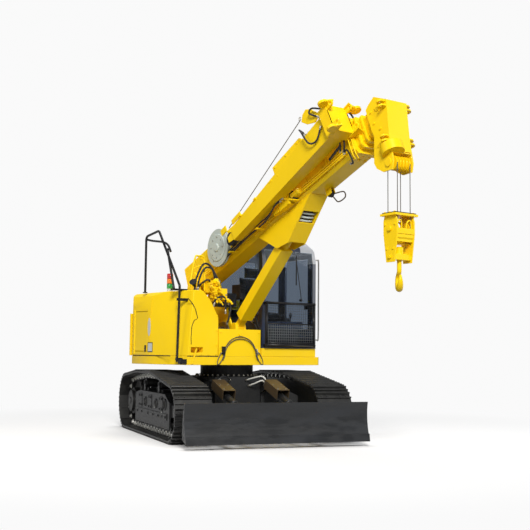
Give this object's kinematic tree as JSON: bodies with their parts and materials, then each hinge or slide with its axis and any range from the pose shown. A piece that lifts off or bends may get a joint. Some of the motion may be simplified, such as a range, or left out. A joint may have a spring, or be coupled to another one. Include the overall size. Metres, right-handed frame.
{
  "type": "crawler crane",
  "caption": "Telescopic crawler crane with slewing upper, operator's cab, dozer blade, stowed fly jib and hook block; boom, blade, doors and hook move",
  "frame": {"origin": "on the ground, on the slewing axis, midway between the tracks", "axes": "front of the undercarriage towards -Y, machine's left-hand side towards +X, up +Z; the superstructure stands slewed 15 degrees to the left as in the picture"},
  "size_m": [2.7397, 5.7864, 4.2283],
  "materials": {
    "black": "satin paint",
    "block": "plain",
    "chrome": "polished rod",
    "dark": "satin paint",
    "glass": "tinted",
    "grey": "satin paint",
    "lamp": "lens",
    "plastic": "moulded",
    "rope": "wire rope",
    "seat": "woven",
    "steel": "machined",
    "track": "worn steel",
    "yellow": "gloss paint"
  },
  "bodies": {
    "undercarriage": {"track_right": "track", "track_left": "track", "track_frame_right": "dark", "track_frame_left": "dark", "track_rollers_right": "dark", "track_rollers_left": "dark", "carrier_rollers": "dark", "idler_right": "dark", "idler_left": "dark", "sprocket_right": "dark", "sprocket_left": "dark", "centre_frame": "dark"},
    "blade": {"blade": "dark"},
    "upper": {"deck": "yellow", "counterweight": "yellow", "engine": "block", "right_housing": "yellow", "side_compartment": "yellow", "engine_walls": "yellow", "cab_base": "yellow", "cab_shell": "grey", "cab_glass": "glass", "operator_seat": "seat", "cab_consoles": "plastic", "front_guard": "black", "boom_frame": "yellow", "handrail": "black", "signal_lamp": "lamp"},
    "side_door": {"side_door": "yellow"},
    "engine_hood": {"engine_hood": "yellow"},
    "cab_door": {"cab_door": "black", "door_glass": "glass"},
    "winch_drum": {"winch_drum": "steel"},
    "boom": {"boom_base": "yellow", "jib": "yellow", "jib_sheave": "yellow", "cable_reel": "grey"},
    "luff_barrel": {"luff_barrel": "yellow"},
    "luff_rod": {"luff_rod": "chrome"},
    "boom_section_2": {"boom_section_2": "yellow"},
    "boom_section_3": {"boom_section_3": "yellow"},
    "boom_section_4": {"boom_section_4": "yellow"},
    "boom_section_5": {"boom_section_5": "yellow", "boom_head": "yellow", "head_sheaves": "yellow"},
    "hook_block": {"hoist_falls": "rope", "hook_block": "yellow"},
    "hook": {"hook": "steel"},
    "blade_barrel_right": {"blade_barrel_right": "dark"},
    "blade_rod_right": {"blade_rod_right": "chrome"},
    "blade_barrel_left": {"blade_barrel_left": "dark"},
    "blade_rod_left": {"blade_rod_left": "chrome"}
  },
  "joints": [
    {"name": "slew", "type": "hinge", "parent": "undercarriage", "child": "upper", "pos_m": [0, 0, 1.02], "axis": [0, 0, 1], "continuous": true},
    {"name": "blade_lift", "type": "hinge", "parent": "undercarriage", "child": "blade", "pos_m": [0, -0.76, 0.42], "axis": [-1, 0, 0], "range_deg": [-2, 20]},
    {"name": "blade_barrel_swing_right", "type": "hinge", "parent": "undercarriage", "child": "blade_barrel_right", "pos_m": [-0.39, -0.7, 0.735], "axis": [-1, 0, 0], "range_deg": [-2.35, 18.98]},
    {"name": "blade_rod_slide_right", "type": "slide", "parent": "blade_barrel_right", "child": "blade_rod_right", "axis": [0, -0.9677, -0.2523], "range_m": [-0.1113, 0.0156]},
    {"name": "blade_barrel_swing_left", "type": "hinge", "parent": "undercarriage", "child": "blade_barrel_left", "pos_m": [0.39, -0.7, 0.735], "axis": [-1, 0, 0], "range_deg": [-2.35, 18.98]},
    {"name": "blade_rod_slide_left", "type": "slide", "parent": "blade_barrel_left", "child": "blade_rod_left", "axis": [0, -0.9677, -0.2523], "range_m": [-0.1113, 0.0156]},
    {"name": "side_door_hinge", "type": "hinge", "parent": "upper", "child": "side_door", "pos_m": [-1.34864, 0.2422, 1.49], "axis": [0, 0, -1], "range_deg": [0, 100]},
    {"name": "cab_door_hinge", "type": "hinge", "parent": "upper", "child": "cab_door", "pos_m": [1.06743, 0.3823, 1.995], "axis": [0, 0, 1], "range_deg": [0, 95]},
    {"name": "engine_hood_hinge", "type": "hinge", "parent": "upper", "child": "engine_hood", "pos_m": [-0.32585, 1.2161, 1.775], "axis": [-0.9659, -0.2588, 0], "range_deg": [0, 60]},
    {"name": "winch_turn", "type": "hinge", "parent": "upper", "child": "winch_drum", "pos_m": [-0.19577, -0.0421, 1.47], "axis": [-0.9659, -0.2588, 0], "continuous": true},
    {"name": "boom_luff", "type": "hinge", "parent": "upper", "child": "boom", "pos_m": [-0.28377, 0.28631, 2.28], "axis": [-0.9659, -0.2588, 0], "range_deg": [-12, 48]},
    {"name": "luff_barrel_swing", "type": "hinge", "parent": "upper", "child": "luff_barrel", "pos_m": [-0.03789, -0.63132, 1.56], "axis": [-0.9659, -0.2588, 0], "range_deg": [-11.68, 45.23]},
    {"name": "luff_rod_slide", "type": "slide", "parent": "luff_barrel", "child": "luff_rod", "axis": [0.1871, -0.6983, 0.6909], "range_m": [-0.2432, 0.9578]},
    {"name": "section_2_extend", "type": "slide", "parent": "boom", "child": "boom_section_2", "axis": [0.24, -0.8956, 0.3746], "range_m": [0, 2.9]},
    {"name": "section_3_extend", "type": "slide", "parent": "boom_section_2", "child": "boom_section_3", "axis": [0.24, -0.8956, 0.3746], "range_m": [-0.001, 2.901]},
    {"name": "section_4_extend", "type": "slide", "parent": "boom_section_3", "child": "boom_section_4", "axis": [0.24, -0.8956, 0.3746], "range_m": [-0.001, 2.901]},
    {"name": "section_5_extend", "type": "slide", "parent": "boom_section_4", "child": "boom_section_5", "axis": [0.24, -0.8956, 0.3746], "range_m": [-0.001, 2.901]},
    {"name": "hook_level", "type": "hinge", "parent": "boom_section_5", "child": "hook_block", "pos_m": [0.81872, -3.82826, 3.39706], "axis": [-0.9659, -0.2588, 0], "range_deg": [-48.5, 12.5]},
    {"name": "hook_swivel", "type": "hinge", "parent": "hook_block", "child": "hook", "pos_m": [0.81872, -3.82826, 2.29706], "axis": [0, 0, 1], "continuous": true}
  ],
  "couplings": [
    {"joint": "blade_barrel_swing_right", "follows": "blade_lift", "ratio": 0.9242},
    {"joint": "blade_rod_slide_right", "follows": "blade_lift", "m_per_rad": -0.3044},
    {"joint": "blade_barrel_swing_left", "follows": "blade_lift", "ratio": 0.9242},
    {"joint": "blade_rod_slide_left", "follows": "blade_lift", "m_per_rad": -0.3044},
    {"joint": "luff_barrel_swing", "follows": "boom_luff", "ratio": 0.9318},
    {"joint": "luff_rod_slide", "follows": "boom_luff", "m_per_rad": 1.1373},
    {"joint": "section_3_extend", "follows": "section_2_extend", "ratio": 1},
    {"joint": "section_4_extend", "follows": "section_2_extend", "ratio": 1},
    {"joint": "section_5_extend", "follows": "section_2_extend", "ratio": 1},
    {"joint": "hook_level", "follows": "boom_luff", "ratio": -1}
  ]
}
